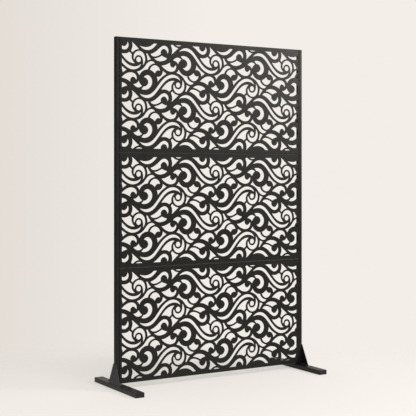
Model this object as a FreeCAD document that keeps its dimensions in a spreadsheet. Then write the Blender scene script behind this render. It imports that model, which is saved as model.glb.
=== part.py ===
import FreeCAD, Part
import math
import os
import Sketcher

# A free-standing privacy screen for a garden or terrace: three sheet-steel trays with a cut-out
# scroll ornament, bolted between two posts that stand on flat feet.
# The origin is on the ground in the middle of the screen. X runs along the screen, Y from front to
# back with zero at the middle of the posts, and Z up. Lengths are in millimetres.

# Driving dimensions: alias, value, what it measures
SIZES = (
    ("screen_width", 1190, "over the outer faces of both posts"),
    ("post_width", 20, "post across the screen"),
    ("post_depth", 25, "post from front to back"),
    ("post_wall", 1.2, "wall of the post"),
    ("post_inside_round", 1, "inside corner radius of the post"),
    ("panel_height", 600, "one panel"),
    ("panel_depth", 25, "front face to the back edge of the folded flanges"),
    ("panel_lift", 5, "gap between the feet and the lowest panel"),
    ("sheet", 1.2, "sheet of the panels"),
    ("inside_bend", 1.8, "inside radius of the panels' folds"),
    ("corner_relief", 3, "notch where two folded flanges meet"),
    ("top_border", 24, "plain strip above the ornament"),
    ("bottom_border", 21, "plain strip below the ornament"),
    ("left_border", 14, "plain strip left of the ornament, seen from the front"),
    ("right_border", 8, "plain strip right of the ornament, seen from the front"),
    ("cell_width", 475, "repeat of the ornament across the panel"),
    ("cell_height", 252.5, "repeat of the ornament up the panel"),
    ("ornament_lift", 1, "start of the ornament's repeat above the panel's top edge"),
    ("foot_length", 480, "foot from front to back, with its end plugs"),
    ("foot_width", 50, "foot across"),
    ("foot_height", 25, "foot tube height"),
    ("foot_wall", 1.5, "wall of the foot"),
    ("foot_inside_round", 1, "inside corner radius of the foot"),
    ("ground_hole", 14, "diameter of the ground-fixing holes"),
    ("inner_ground_place", 125, "inner ground-fixing holes from the post's middle"),
    ("outer_ground_inset", 25, "outer ground-fixing holes from the foot's ends"),
    ("gusset_thickness", 3, "brace plate"),
    ("gusset_base", 140, "brace plate along the foot"),
    ("gusset_height", 110, "brace plate above the foot"),
    ("weld_leg", 3, "fillet weld at the brace plate"),
    ("weld_end", 4, "brace plate left bare at each end of a weld"),
    ("spigot_end", 14, "stub that the post slips over, above its upper bolt"),
    ("spigot_wall", 2, "wall of the stub"),
    ("spigot_gap", 0.3, "slip fit between stub and post, each side"),
    ("post_plug_head", 2.5, "head of the plug on a post"),
    ("foot_plug_head", 3, "head of the plug in a foot"),
    ("plug_round", 1.2, "rounded edge of a plug's head"),
    ("plug_stem", 14, "part of a plug inside its tube"),
    ("plug_wall", 2, "wall of a plug's stem"),
    ("plug_gap", 0.2, "fit between a plug and its tube, each side"),
    ("bolt_diameter", 6, "all bolts"),
    ("bolt_gap", 0.3, "clearance of a bolt in its hole, each side"),
    ("thread_gap", 0.1, "clearance of a bolt in its nut and of a rivet nut in its hole, each side"),
    ("head_flats", 10, "bolt heads and nuts across their flats"),
    ("head_height", 4, "bolt head"),
    ("nut_height", 5, "nut"),
    ("washer_diameter", 12, "washer"),
    ("washer_thickness", 1.2, "washer"),
    ("rivet_flange_diameter", 13, "flange of a rivet nut"),
    ("rivet_flange", 0.8, "flange of a rivet nut, which spaces the panel off the post"),
    ("rivet_body_diameter", 9, "body of a rivet nut"),
    ("rivet_body_length", 9, "body of a rivet nut"),
    ("side_bolt_length", 10, "bolts from a panel into a post"),
    ("side_bolt_inset", 150, "outer side bolts from the panel's top and bottom edges"),
    ("seam_bolt_length", 12, "bolts between two panels"),
    ("seam_bolt_inset", 150, "outer seam bolts from the panel's side edges"),
    ("base_bolt_length", 11, "bolts from a post into its stub"),
    ("base_bolt_rise", 20, "lower base bolt above the foot"),
    ("base_bolt_step", 36, "distance between the two base bolts"),
    ("overrun", 1, "how far every cut passes the faces it goes through"),
)
PANEL_COUNT = 3

# Cut-outs of half a repeat of the ornament, drawn by hand as shares of the repeat's width and
# height, across from the panel's left edge and down from the start of the repeat. Each row is one
# stretch from a corner to the next row's corner: two points make a line, three an arc, more a curve.
CUTOUT_SHARES = {
    "wave": (
        ((0.748, 0.234), (0.790, 0.173), (0.840, 0.150), (0.900, 0.180), (0.960, 0.283),
         (1.035, 0.453), (1.100, 0.559), (1.180, 0.601), (1.225, 0.585)),
        ((1.264, 0.538), (1.240, 0.613), (1.195, 0.654), (1.160, 0.662), (1.080, 0.610),
         (1.000, 0.467), (0.930, 0.305), (0.870, 0.226), (0.820, 0.208)),
    ),
    "crescent": (
        ((0.770, 0.330), (0.808, 0.320), (0.865, 0.354), (0.9045, 0.490), (0.880, 0.600),
         (0.843, 0.628), (0.817, 0.611)),
        ((0.800, 0.579), (0.833, 0.557), (0.855, 0.485), (0.833, 0.408)),
        ((0.797, 0.388),),
    ),
    "spiral": (
        ((0.180, 0.457), (0.173, 0.403), (0.190, 0.318), (0.243, 0.273), (0.290, 0.311),
         (0.316, 0.430), (0.309, 0.505)),
        ((0.288, 0.560), (0.2895, 0.470), (0.270, 0.386), (0.236, 0.3595), (0.200, 0.389),
         (0.189, 0.428)),
    ),
    "eye": (
        ((0.207, 0.4515), (0.2345, 0.398)),
        ((0.262, 0.4515), (0.2345, 0.505)),
    ),
    "thorn": (
        ((0.642, 0.116), (0.656, 0.185), (0.659, 0.240)),
        ((0.649, 0.307), (0.690, 0.243)),
        ((0.739, 0.160), (0.700, 0.140)),
        ((0.661, 0.081),),
    ),
    "hooked_leaf": (
        ((0.384, 0.322), (0.432, 0.283), (0.465, 0.240), (0.515, 0.160), (0.559, 0.130),
         (0.600, 0.168), (0.611, 0.230)),
        ((0.597, 0.295), (0.590, 0.243), (0.555, 0.1965), (0.522, 0.228)),
        ((0.515, 0.308), (0.475, 0.350), (0.430, 0.367), (0.400, 0.354)),
    ),
    "lens": (
        ((0.430, 0.410), (0.462, 0.399), (0.500, 0.370)),
        ((0.528, 0.343), (0.552, 0.367)),
        ((0.592, 0.388), (0.575, 0.425), (0.540, 0.451), (0.505, 0.461), (0.455, 0.441)),
    ),
    "dart": (
        ((0.329, 0.318), (0.338, 0.365), (0.344, 0.420)),
        ((0.345, 0.462), (0.366, 0.444)),
        ((0.387, 0.428), (0.366, 0.381)),
        ((0.346, 0.317),),
    ),
    "comma": (
        ((0.522, 0.549), (0.565, 0.536), (0.600, 0.509)),
        ((0.637, 0.474), (0.633, 0.528), (0.666, 0.580), (0.692, 0.552)),
        ((0.707, 0.521), (0.711, 0.560), (0.692, 0.635), (0.642, 0.667), (0.580, 0.636)),
    ),
    "leaflet": (
        ((0.670, 0.428), (0.685, 0.398), (0.707, 0.373), (0.735, 0.363), (0.760, 0.377)),
        ((0.777, 0.399), (0.755, 0.437)),
        ((0.735, 0.502), (0.712, 0.454)),
    ),
    "band": (
        ((0.744, 0.612), (0.760, 0.666), (0.800, 0.725)),
        ((0.850, 0.746), (0.861, 0.797), (0.890, 0.849)),
        ((0.938, 0.881), (0.897, 0.922), (0.845, 0.879), (0.800, 0.777), (0.760, 0.720)),
        ((0.713, 0.688), (0.732, 0.652)),
    ),
    "bowl": (
        ((0.877, 0.741), (0.907, 0.717)),
        ((0.939, 0.667), (0.950, 0.708), (0.976, 0.738)),
        ((1.003, 0.727), (0.988, 0.796), (0.940, 0.841), (0.893, 0.799)),
    ),
    "wing": (
        ((0.974, 0.499), (1.010, 0.575), (1.045, 0.628)),
        ((1.085, 0.675), (1.060, 0.706)),
        ((1.038, 0.736), (1.035, 0.689), (1.018, 0.634), (0.990, 0.604)),
        ((0.962, 0.609), (0.970, 0.560)),
    ),
    "fan": (
        ((1.021, 0.336), (1.060, 0.345), (1.095, 0.332)),
        ((1.122, 0.304),),
        ((1.151, 0.352), (1.147, 0.400), (1.160, 0.475)),
        ((1.188, 0.532), (1.130, 0.520), (1.075, 0.457)),
    ),
}
# The other half of a repeat is the same cut-outs upside down, half a repeat further along.
GLIDE_ACROSS_SHARE = 0.5
GLIDE_DOWN_SHARE = 1.393
# A clipped cut-out smaller than this share of one repeat is left out.
SMALLEST_CUTOUT_SHARE = 0.0002

doc = FreeCAD.newDocument("privacy_screen")
sheet = doc.addObject("Spreadsheet::Sheet", "Sizes")
for row, (alias, value, meaning) in enumerate(SIZES, start=1):
    sheet.set("A%d" % row, meaning)
    sheet.set("B%d" % row, str(value))
    sheet.setAlias("B%d" % row, alias)
doc.recompute()

nodes = []


def amount(expression):
    """Works out an expression of the sheet's sizes."""
    return float(sheet.evalExpression(expression))


def node(piece, label):
    """Names a finished sub-part."""
    piece.Label = label
    nodes.append(piece)
    return piece


# Bodies from sketches

def outline(body, role, name, corners):
    """Draws a closed outline of straight lines on one of the body's own planes."""
    sketch = body.newObject("Sketcher::SketchObject", name)
    planes = {feature.Role: feature for feature in body.Origin.OriginFeatures}
    sketch.AttachmentSupport = [(planes[role], "")]
    sketch.MapMode = "FlatFace"
    spots = [FreeCAD.Vector(amount(across), amount(up), 0) for across, up in corners]
    for start, end in zip(spots, spots[1:] + spots[:1]):
        sketch.addGeometry(Part.LineSegment(start, end), False)
    for line, (across, up) in enumerate(corners):
        before = (line - 1) % len(corners)
        sketch.addConstraint(Sketcher.Constraint("Coincident", before, 2, line, 1))
        for kind, distance in (("DistanceX", across), ("DistanceY", up)):
            number = sketch.addConstraint(Sketcher.Constraint(kind, line, 1, amount(distance)))
            sketch.setExpression("Constraints[%d]" % number, distance)
    return sketch


def pad(body, sketch, name, length):
    """Thickens a sketch."""
    feature = body.newObject("PartDesign::Pad", name)
    feature.Profile = sketch
    feature.setExpression("Length", length)
    doc.recompute()
    return feature


def rounded(body, base, name, radius, chosen):
    """Rounds the edges of a feature that a test picks."""
    feature = body.newObject("PartDesign::Fillet", name)
    edges = ["Edge%d" % number for number, edge in enumerate(base.Shape.Edges, start=1) if chosen(edge)]
    feature.Base = (base, edges)
    feature.setExpression("Radius", radius)
    doc.recompute()
    return feature


def upright(edge):
    """Picks the edges along Z."""
    start, end = edge.Vertexes[0].Point, edge.Vertexes[-1].Point
    return abs((end - start).z) > max(abs((end - start).x), abs((end - start).y))


def lying_at(axis, level):
    """Makes the test that picks the edges that lie at one level along an axis."""
    def chosen(edge):
        return all(math.isclose(getattr(corner.Point, axis), level, abs_tol=Part.Precision.confusion())
                   for corner in edge.Vertexes)

    return chosen


def block(name, across, depth, up):
    """Starts a body with a block between pairs of expressions along X, Y and Z."""
    body = doc.addObject("PartDesign::Body", name)
    corners = [(across[0], depth[0]), (across[1], depth[0]), (across[1], depth[1]), (across[0], depth[1])]
    base = pad(body, outline(body, "XY_Plane", name + "_outline", corners), name + "_pad",
               "(%s) - (%s)" % (up[1], up[0]))
    body.setExpression("Placement.Base.z", up[0])
    return body, base


def centred(size):
    """Gives the two ends of a size centred on zero."""
    return "-(%s) / 2" % size, "(%s) / 2" % size


def grown(ends, margin):
    """Moves both ends of a span outwards."""
    return "(%s) - (%s)" % (ends[0], margin), "(%s) + (%s)" % (ends[1], margin)


# Plain solids, cuts and copies

def joined(kind, name, base, tool):
    """Cuts or joins two objects."""
    result = doc.addObject(kind, name)
    result.Base = base
    result.Tool = tool
    return result


def rod(name, radius, height, foot="0"):
    """Adds a cylinder along Z that starts at a height."""
    piece = doc.addObject("Part::Cylinder", name)
    piece.setExpression("Radius", radius)
    piece.setExpression("Height", height)
    piece.setExpression("Placement.Base.z", foot)
    return piece


def hexagon(name, height):
    """Adds a hexagon prism for a bolt head or a nut."""
    piece = doc.addObject("Part::Prism", name)
    piece.Polygon = 6
    piece.setExpression("Circumradius", "Sizes.head_flats / sqrt(3)")
    piece.setExpression("Height", height)
    return piece


def place(point, direction):
    """Places a piece made along Z at a point given by expressions, turned to a direction."""
    turn = FreeCAD.Rotation(FreeCAD.Vector(0, 0, 1), FreeCAD.Vector(*direction))
    return FreeCAD.Placement(FreeCAD.Vector(*[amount(part) for part in point]), turn)


def group(name, pattern, places):
    """Copies one shape to many places, as separate solids of one object."""
    doc.recompute()
    copies = []
    for spot in places:
        copy = pattern.Shape.copy()
        copy.Placement = spot.multiply(copy.Placement)
        copies.append(copy)
    piece = doc.addObject("Part::Feature", name)
    piece.Shape = Part.makeCompound(copies)
    return piece


def mirrored(source, label, normal):
    """Mirrors a finished sub-part through the origin's plane with the given normal."""
    piece = doc.addObject("Part::Mirroring", label + "_mirror")
    piece.Source = source
    piece.Normal = normal
    return node(piece, label)


ACROSS = (1, 0, 0)
TOWARDS_FRONT = (0, -1, 0)
TOWARDS_BACK = (0, 1, 0)
UP = (0, 0, 1)
DOWN = (0, 0, -1)


def both_sides(piece, name):
    """Makes a left sub-part and its mirror image on the right."""
    node(piece, "left_" + name)
    return mirrored(piece, "right_" + name, FreeCAD.Vector(*ACROSS))


# Places that several pieces share
POST_OUTER = "-Sizes.screen_width / 2"
POST_INNER = POST_OUTER + " + Sizes.post_width"
POST_MIDDLE = POST_OUTER + " + Sizes.post_width / 2"
POST_FRONT, POST_BACK = centred("Sizes.post_depth")
PANEL_EDGE = POST_INNER + " + Sizes.rivet_flange"
PANEL_BACK = POST_FRONT + " + Sizes.panel_depth"
PANEL_MIDDLE = POST_FRONT + " + Sizes.panel_depth / 2"
PANEL_BOTTOM = "Sizes.foot_height + Sizes.panel_lift"
SCREEN_TOP = "%s + %d * Sizes.panel_height" % (PANEL_BOTTOM, PANEL_COUNT)
POST_TOP = SCREEN_TOP + " - Sizes.post_plug_head"
FOOT_OUTER = POST_OUTER + " - Sizes.gusset_thickness"
FOOT_MIDDLE = FOOT_OUTER + " + Sizes.foot_width / 2"
BOLT_RADIUS = "Sizes.bolt_diameter / 2"
BOLT_HOLE_RADIUS = BOLT_RADIUS + " + Sizes.bolt_gap"
NUT_BORE_RADIUS = BOLT_RADIUS + " + Sizes.thread_gap"
SIDE_BOLT_HEIGHTS = ("Sizes.side_bolt_inset", "Sizes.panel_height / 2",
                     "Sizes.panel_height - Sizes.side_bolt_inset")
SEAM_BOLT_PLACES = (PANEL_EDGE + " + Sizes.seam_bolt_inset", "0",
                    "-(%s + Sizes.seam_bolt_inset)" % PANEL_EDGE)
BASE_BOLT_HEIGHTS = ("Sizes.foot_height + Sizes.base_bolt_rise",
                     "Sizes.foot_height + Sizes.base_bolt_rise + Sizes.base_bolt_step")
SIDE_BOLT_LEVELS = [
    "%s + %d * Sizes.panel_height + %s" % (PANEL_BOTTOM, panel, height)
    for panel in range(PANEL_COUNT)
    for height in SIDE_BOLT_HEIGHTS
]


# Fastener patterns, each along Z with its seat at zero

def bolt(name, length):
    """Makes a hexagon bolt whose head stands above its seat."""
    shank = rod(name + "_shank", BOLT_RADIUS, length, "-(%s)" % length)
    return joined("Part::Fuse", name, hexagon(name + "_head", "Sizes.head_height"), shank)


def bored(name, solid, radius, length, foot="0"):
    """Bores a solid along Z."""
    drill = rod(name + "_bore", radius, "(%s) + 2 * Sizes.overrun" % length, "(%s) - Sizes.overrun" % foot)
    return joined("Part::Cut", name, solid, drill)


side_bolt = bolt("side_bolt", "Sizes.side_bolt_length")
seam_bolt = bolt("seam_bolt", "Sizes.seam_bolt_length")
base_bolt = bolt("base_bolt", "Sizes.base_bolt_length")
washer_disc = rod("washer_disc", "Sizes.washer_diameter / 2", "Sizes.washer_thickness")
washer = bored("washer", washer_disc, BOLT_HOLE_RADIUS, "Sizes.washer_thickness")
nut = bored("nut", hexagon("nut_prism", "Sizes.nut_height"), NUT_BORE_RADIUS, "Sizes.nut_height")
rivet_flange = rod("rivet_flange", "Sizes.rivet_flange_diameter / 2", "Sizes.rivet_flange")
rivet_body = rod("rivet_body", "Sizes.rivet_body_diameter / 2", "Sizes.rivet_body_length",
                 "-Sizes.rivet_body_length")
rivet_nut = bored("rivet_nut", joined("Part::Fuse", "rivet_nut_blank", rivet_flange, rivet_body),
                  NUT_BORE_RADIUS, "Sizes.rivet_body_length + Sizes.rivet_flange", "-Sizes.rivet_body_length")


# Posts: rectangular tubes with holes for the rivet nuts and, at the back, for the base bolts

def tube(name, across, depth, up, wall, inside_round, drills):
    """Makes a rectangular tube along Z with rounded corners and drilled holes."""
    outer, outer_pad = block(name + "_outer", across, depth, up)
    rounded(outer, outer_pad, name + "_outer_round", "%s + %s" % (inside_round, wall), upright)
    inner, inner_pad = block(name + "_inner", grown(across, "-" + wall), grown(depth, "-" + wall),
                             grown(up, "Sizes.overrun"))
    rounded(inner, inner_pad, name + "_inner_round", inside_round, upright)
    return joined("Part::Cut", name, joined("Part::Cut", name + "_blank", outer, inner), drills)


def drill_group(name, radius, length, places):
    """Makes one drill for each place, each starting short of its wall."""
    drill = rod(name + "_drill", radius, "%s + 2 * Sizes.overrun" % length, "-(%s) - Sizes.overrun" % length)
    return group(name, drill, places)


RIVET_HOLE_RADIUS = "Sizes.rivet_body_diameter / 2 + Sizes.thread_gap"
rivet_drills = drill_group("rivet_drills", RIVET_HOLE_RADIUS, "Sizes.post_wall",
                           [place((POST_INNER, PANEL_MIDDLE, level), ACROSS) for level in SIDE_BOLT_LEVELS])
post_base_drills = drill_group("post_base_drills", BOLT_HOLE_RADIUS, "Sizes.post_wall",
                               [place((POST_MIDDLE, POST_BACK, level), TOWARDS_BACK)
                                for level in BASE_BOLT_HEIGHTS])
post_drills = joined("Part::Fuse", "post_drills", rivet_drills, post_base_drills)
both_sides(tube("post", (POST_OUTER, POST_INNER), (POST_FRONT, POST_BACK), ("Sizes.foot_height", POST_TOP),
                "Sizes.post_wall", "Sizes.post_inside_round", post_drills), "post")

# Stubs: shorter tubes on the feet that fit inside the posts
SPIGOT_INSET = "(Sizes.post_wall + Sizes.spigot_gap)"
spigot_across = grown((POST_OUTER, POST_INNER), "-" + SPIGOT_INSET)
spigot_depth = grown((POST_FRONT, POST_BACK), "-" + SPIGOT_INSET)
spigot_drills = drill_group("spigot_drills", BOLT_HOLE_RADIUS, "Sizes.spigot_wall",
                            [place((POST_MIDDLE, spigot_depth[1], level), TOWARDS_BACK)
                             for level in BASE_BOLT_HEIGHTS])
both_sides(tube("spigot", spigot_across, spigot_depth,
                ("Sizes.foot_height", BASE_BOLT_HEIGHTS[1] + " + Sizes.spigot_end"),
                "Sizes.spigot_wall", "Sizes.post_inside_round", spigot_drills), "spigot")

# Feet: flat tubes that lie along Y, made upright and then laid down
foot_tube_length = "Sizes.foot_length - 2 * Sizes.foot_plug_head"
OUTER_GROUND_PLACE = "(Sizes.foot_length / 2 - Sizes.outer_ground_inset)"
GROUND_PLACES = ("-" + OUTER_GROUND_PLACE, "-Sizes.inner_ground_place",
                 "Sizes.inner_ground_place", OUTER_GROUND_PLACE)
ground_drills = drill_group("ground_drills", "Sizes.ground_hole / 2", "Sizes.foot_height",
                            [place(("0", "Sizes.foot_height / 2", along), TOWARDS_BACK)
                             for along in GROUND_PLACES])
foot = tube("foot", centred("Sizes.foot_width"), centred("Sizes.foot_height"), centred(foot_tube_length),
            "Sizes.foot_wall", "Sizes.foot_inside_round", ground_drills)
foot.Placement.Rotation = FreeCAD.Rotation(FreeCAD.Vector(*ACROSS), 90)
foot.setExpression("Placement.Base.x", FOOT_MIDDLE)
foot.setExpression("Placement.Base.z", "Sizes.foot_height / 2")
both_sides(foot, "foot")


# Plugs: a rounded head on the end of a tube and a hollow stem inside it

def plug(name, across, depth, wall, inside_round, head):
    """Makes a plug along Z whose head's underside is at zero."""
    cap, cap_pad = block(name + "_cap", across, depth, ("0", head))
    sides = rounded(cap, cap_pad, name + "_cap_sides", "%s + %s" % (inside_round, wall), upright)
    rounded(cap, sides, name + "_cap_edge", "Sizes.plug_round", lying_at("z", sides.Shape.BoundBox.ZMax))
    inset = "(%s + Sizes.plug_gap)" % wall
    stem_across, stem_depth = grown(across, "-" + inset), grown(depth, "-" + inset)
    stem, stem_pad = block(name + "_stem", stem_across, stem_depth, ("-Sizes.plug_stem", "0"))
    rounded(stem, stem_pad, name + "_stem_sides", inside_round, upright)
    hollow = block(name + "_hollow", grown(stem_across, "-Sizes.plug_wall"),
                   grown(stem_depth, "-Sizes.plug_wall"), ("-Sizes.plug_stem - Sizes.overrun", "0"))[0]
    return joined("Part::Fuse", name, cap, joined("Part::Cut", name + "_tube", stem, hollow))


post_plug = plug("post_plug", centred("Sizes.post_width"), centred("Sizes.post_depth"),
                 "Sizes.post_wall", "Sizes.post_inside_round", "Sizes.post_plug_head")
post_plug.setExpression("Placement.Base.x", POST_MIDDLE)
post_plug.setExpression("Placement.Base.z", POST_TOP)
both_sides(post_plug, "post_cap")

foot_plug = plug("foot_plug", centred("Sizes.foot_width"), centred("Sizes.foot_height"),
                 "Sizes.foot_wall", "Sizes.foot_inside_round", "Sizes.foot_plug_head")
foot_plug.Placement.Rotation = FreeCAD.Rotation(FreeCAD.Vector(*ACROSS), 90)
foot_plug.setExpression("Placement.Base.x", FOOT_MIDDLE)
foot_plug.setExpression("Placement.Base.y", "-(%s) / 2" % foot_tube_length)
foot_plug.setExpression("Placement.Base.z", "Sizes.foot_height / 2")
right_front_plug = both_sides(foot_plug, "foot_front_cap")
mirrored(foot_plug, "left_foot_rear_cap", FreeCAD.Vector(*TOWARDS_BACK))
mirrored(right_front_plug, "right_foot_rear_cap", FreeCAD.Vector(*TOWARDS_BACK))

# Brace plates: trapezoids that stand on the feet against the posts' outer faces
gusset = doc.addObject("PartDesign::Body", "gusset")
gusset_half = "Sizes.gusset_base / 2"
gusset_top = "Sizes.foot_height + Sizes.gusset_height"
gusset_corners = [("-" + gusset_half, "Sizes.foot_height"), (gusset_half, "Sizes.foot_height"),
                  (POST_BACK, gusset_top), (POST_FRONT, gusset_top)]
pad(gusset, outline(gusset, "YZ_Plane", "gusset_outline", gusset_corners), "gusset_pad",
    "Sizes.gusset_thickness")
gusset.setExpression("Placement.Base.x", FOOT_OUTER)
both_sides(gusset, "gusset")

# Weld beads along the brace plate's inner face, in front of and behind the post
bead = doc.addObject("Part::Cylinder", "bead")
bead.setExpression("Radius", "Sizes.weld_leg")
bead.setExpression("Height", "%s - Sizes.post_depth / 2 - 2 * Sizes.weld_end" % gusset_half)
bead.Angle = 90
bead.Placement.Rotation = FreeCAD.Rotation(FreeCAD.Vector(*ACROSS), 90)
weld_seat = (POST_OUTER, "%s - Sizes.weld_end" % POST_FRONT, "Sizes.foot_height")
doc.recompute()
front_bead = group("front_bead", bead, [place(weld_seat, UP)])
rear_bead = doc.addObject("Part::Mirroring", "rear_bead")
rear_bead.Source = front_bead
rear_bead.Normal = FreeCAD.Vector(*TOWARDS_BACK)
welds = doc.addObject("Part::Compound", "welds")
welds.Links = [front_bead, rear_bead]
both_sides(welds, "gusset_welds")

# Panels: trays folded from sheet, with the scroll ornament cut through the front
FOLD = "Sizes.inside_bend + Sizes.sheet"
panel_across = (PANEL_EDGE, "-(%s)" % PANEL_EDGE)
panel_depth = (POST_FRONT, PANEL_BACK)
panel_up = (PANEL_BOTTOM, PANEL_BOTTOM + " + Sizes.panel_height")
tray_outer, tray_pad = block("tray_outer", panel_across, panel_depth, panel_up)
rounded(tray_outer, tray_pad, "tray_outer_bend", FOLD, lying_at("y", amount(panel_depth[0])))
hollow_depth = (panel_depth[0] + " + Sizes.sheet", panel_depth[1] + " + Sizes.overrun")
tray_inner, hollow_pad = block("tray_inner", grown(panel_across, "-Sizes.sheet"), hollow_depth,
                               grown(panel_up, "-Sizes.sheet"))
rounded(tray_inner, hollow_pad, "tray_inner_bend", "Sizes.inside_bend",
        lying_at("y", amount(hollow_depth[0])))
tray = joined("Part::Cut", "tray", tray_outer, tray_inner)
flat_depth = grown((panel_depth[0], panel_depth[0] + " + Sizes.sheet"), "Sizes.overrun")
flat_block = block("flat_block", grown(panel_across, "-(%s)" % FOLD), flat_depth,
                   grown(panel_up, "-(%s)" % FOLD))[0]
rim = joined("Part::Cut", "rim", tray, flat_block)


def relief(name, across, up):
    """Makes the notch between two flanges at one corner of the tray."""
    depth = (panel_depth[0] + " + " + FOLD, panel_depth[1] + " + Sizes.overrun")
    return block(name, across, depth, up)[0]


LEFT_NOTCH = (PANEL_EDGE + " - Sizes.overrun", PANEL_EDGE + " + Sizes.corner_relief")
RIGHT_NOTCH = tuple("-(%s)" % end for end in reversed(LEFT_NOTCH))
LOW_NOTCH = (panel_up[0] + " - Sizes.overrun", panel_up[0] + " + Sizes.corner_relief")
HIGH_NOTCH = (panel_up[1] + " - Sizes.corner_relief", panel_up[1] + " + Sizes.overrun")
notches = doc.addObject("Part::Compound", "notches")
notches.Links = [relief("notch_%s_%s" % (side, end), across, up)
                 for side, across in (("left", LEFT_NOTCH), ("right", RIGHT_NOTCH))
                 for end, up in (("low", LOW_NOTCH), ("high", HIGH_NOTCH))]
FLANGE_FACE = PANEL_EDGE + " + Sizes.sheet"
left_flange_drills = drill_group("left_flange_drills", BOLT_HOLE_RADIUS, "Sizes.sheet",
                                 [place((FLANGE_FACE, PANEL_MIDDLE, PANEL_BOTTOM + " + " + height), ACROSS)
                                  for height in SIDE_BOLT_HEIGHTS])
right_flange_drills = doc.addObject("Part::Mirroring", "right_flange_drills")
right_flange_drills.Source = left_flange_drills
right_flange_drills.Normal = FreeCAD.Vector(*ACROSS)
lower_flange_drills = drill_group("lower_flange_drills", BOLT_HOLE_RADIUS, "Sizes.sheet",
                                  [place((across, PANEL_MIDDLE, panel_up[0] + " + Sizes.sheet"), UP)
                                   for across in SEAM_BOLT_PLACES])
upper_flange_drills = drill_group("upper_flange_drills", BOLT_HOLE_RADIUS, "Sizes.sheet",
                                  [place((across, PANEL_MIDDLE, panel_up[1]), UP)
                                   for across in SEAM_BOLT_PLACES])
flange_cuts = doc.addObject("Part::Compound", "flange_cuts")
flange_cuts.Links = [notches, left_flange_drills, right_flange_drills, lower_flange_drills,
                     upper_flange_drills]


# Front sheet: the flat face between the folds, with the ornament's cut-outs clipped at its plain border

def cutout_face(stretches, spot):
    """Draws one cut-out of the ornament as a flat face, with its shares turned into places by spot."""
    edges = []
    for stretch, following in zip(stretches, stretches[1:] + stretches[:1]):
        points = [spot(*share) for share in stretch + following[:1]]
        if len(points) == 2:
            edges.append(Part.makeLine(*points))
        elif len(points) == 3:
            edges.append(Part.Arc(*points).toShape())
        else:
            curve = Part.BSplineCurve()
            curve.interpolate(Points=points)
            edges.append(curve.toShape())
    return Part.Face(Part.Wire(edges))


def rectangle(left, right, low, high):
    """Draws a rectangle on the panel's front."""
    front = amount(POST_FRONT)
    corners = [(left, low), (right, low), (right, high), (left, high), (left, low)]
    return Part.makePolygon([FreeCAD.Vector(across, front, up) for across, up in corners])


def front_sheet():
    """Makes the flat front of a panel with the ornament's openings in it."""
    left, right = [amount(end) for end in panel_across]
    low, high = [amount(end) for end in panel_up]
    fold = amount(FOLD)
    window = Part.Face(rectangle(left + amount("Sizes.left_border"), right - amount("Sizes.right_border"),
                                 low + amount("Sizes.bottom_border"), high - amount("Sizes.top_border")))
    clear = window.BoundBox
    cell_width, cell_height = amount("Sizes.cell_width"), amount("Sizes.cell_height")
    origin = FreeCAD.Vector(left, amount(POST_FRONT), high + amount("Sizes.ornament_lift"))
    smallest = SMALLEST_CUTOUT_SHARE * cell_width * cell_height
    openings = []

    def draw(stretches, upside_down, column, row):
        def spot(across, down):
            if upside_down:
                across, down = across + GLIDE_ACROSS_SHARE, GLIDE_DOWN_SHARE - down
            return origin + FreeCAD.Vector((across + column) * cell_width, 0, -(down + row) * cell_height)

        face = cutout_face(stretches, spot)
        if not face.BoundBox.intersect(clear):
            return
        clipped = [face] if clear.isInside(face.BoundBox) else face.common(window).Faces
        openings.extend(piece.OuterWire for piece in clipped if piece.Area > smallest)

    for stretches in CUTOUT_SHARES.values():
        for upside_down in (False, True):
            for column in range(-2, math.ceil((right - left) / cell_width) + 1):
                for row in range(-2, math.ceil((high - low) / cell_height) + 1):
                    draw(stretches, upside_down, column, row)
    flat = rectangle(left + fold, right - fold, low + fold, high - fold)
    face = Part.makeFace([flat] + openings, "Part::FaceMakerBullseye")
    return face.extrude(FreeCAD.Vector(0, amount("Sizes.sheet"), 0))


front_plate = doc.addObject("Part::Feature", "front_plate")
front_plate.Shape = front_sheet()
drilled_rim = joined("Part::Cut", "drilled_rim", rim, flange_cuts)
bottom_panel = node(joined("Part::Fuse", "panel", drilled_rim, front_plate), "bottom_panel")
doc.recompute()
for step, label in enumerate(("middle_panel", "top_panel"), start=1):
    panel = node(doc.addObject("Part::Feature", label), label)
    panel.Shape = bottom_panel.Shape
    panel.Placement.Base = FreeCAD.Vector(0, 0, step * amount("Sizes.panel_height"))

# Fasteners between panels and posts
HEAD_FACE = FLANGE_FACE + " + Sizes.washer_thickness"
both_sides(group("side_bolts", side_bolt, [place((HEAD_FACE, PANEL_MIDDLE, level), ACROSS)
                                           for level in SIDE_BOLT_LEVELS]), "side_bolts")
both_sides(group("side_washers", washer, [place((FLANGE_FACE, PANEL_MIDDLE, level), ACROSS)
                                          for level in SIDE_BOLT_LEVELS]), "side_washers")
both_sides(group("side_rivet_nuts", rivet_nut, [place((POST_INNER, PANEL_MIDDLE, level), ACROSS)
                                                for level in SIDE_BOLT_LEVELS]), "side_rivet_nuts")

# Fasteners between one panel and the next
for step, side in ((1, "lower"), (2, "upper")):
    seam = "%s + %d * Sizes.panel_height" % (PANEL_BOTTOM, step)
    above, below = seam + " + Sizes.sheet", seam + " - Sizes.sheet"
    node(group(side + "_seam_bolts", seam_bolt,
               [place((across, PANEL_MIDDLE, above + " + Sizes.washer_thickness"), UP)
                for across in SEAM_BOLT_PLACES]),
         side + "_seam_bolts")
    node(group(side + "_seam_washers", washer,
               [place((across, PANEL_MIDDLE, level), way) for across in SEAM_BOLT_PLACES
                for level, way in ((above, UP), (below, DOWN))]),
         side + "_seam_washers")
    node(group(side + "_seam_nuts", nut,
               [place((across, PANEL_MIDDLE, below + " - Sizes.washer_thickness"), DOWN)
                for across in SEAM_BOLT_PLACES]),
         side + "_seam_nuts")

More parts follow.
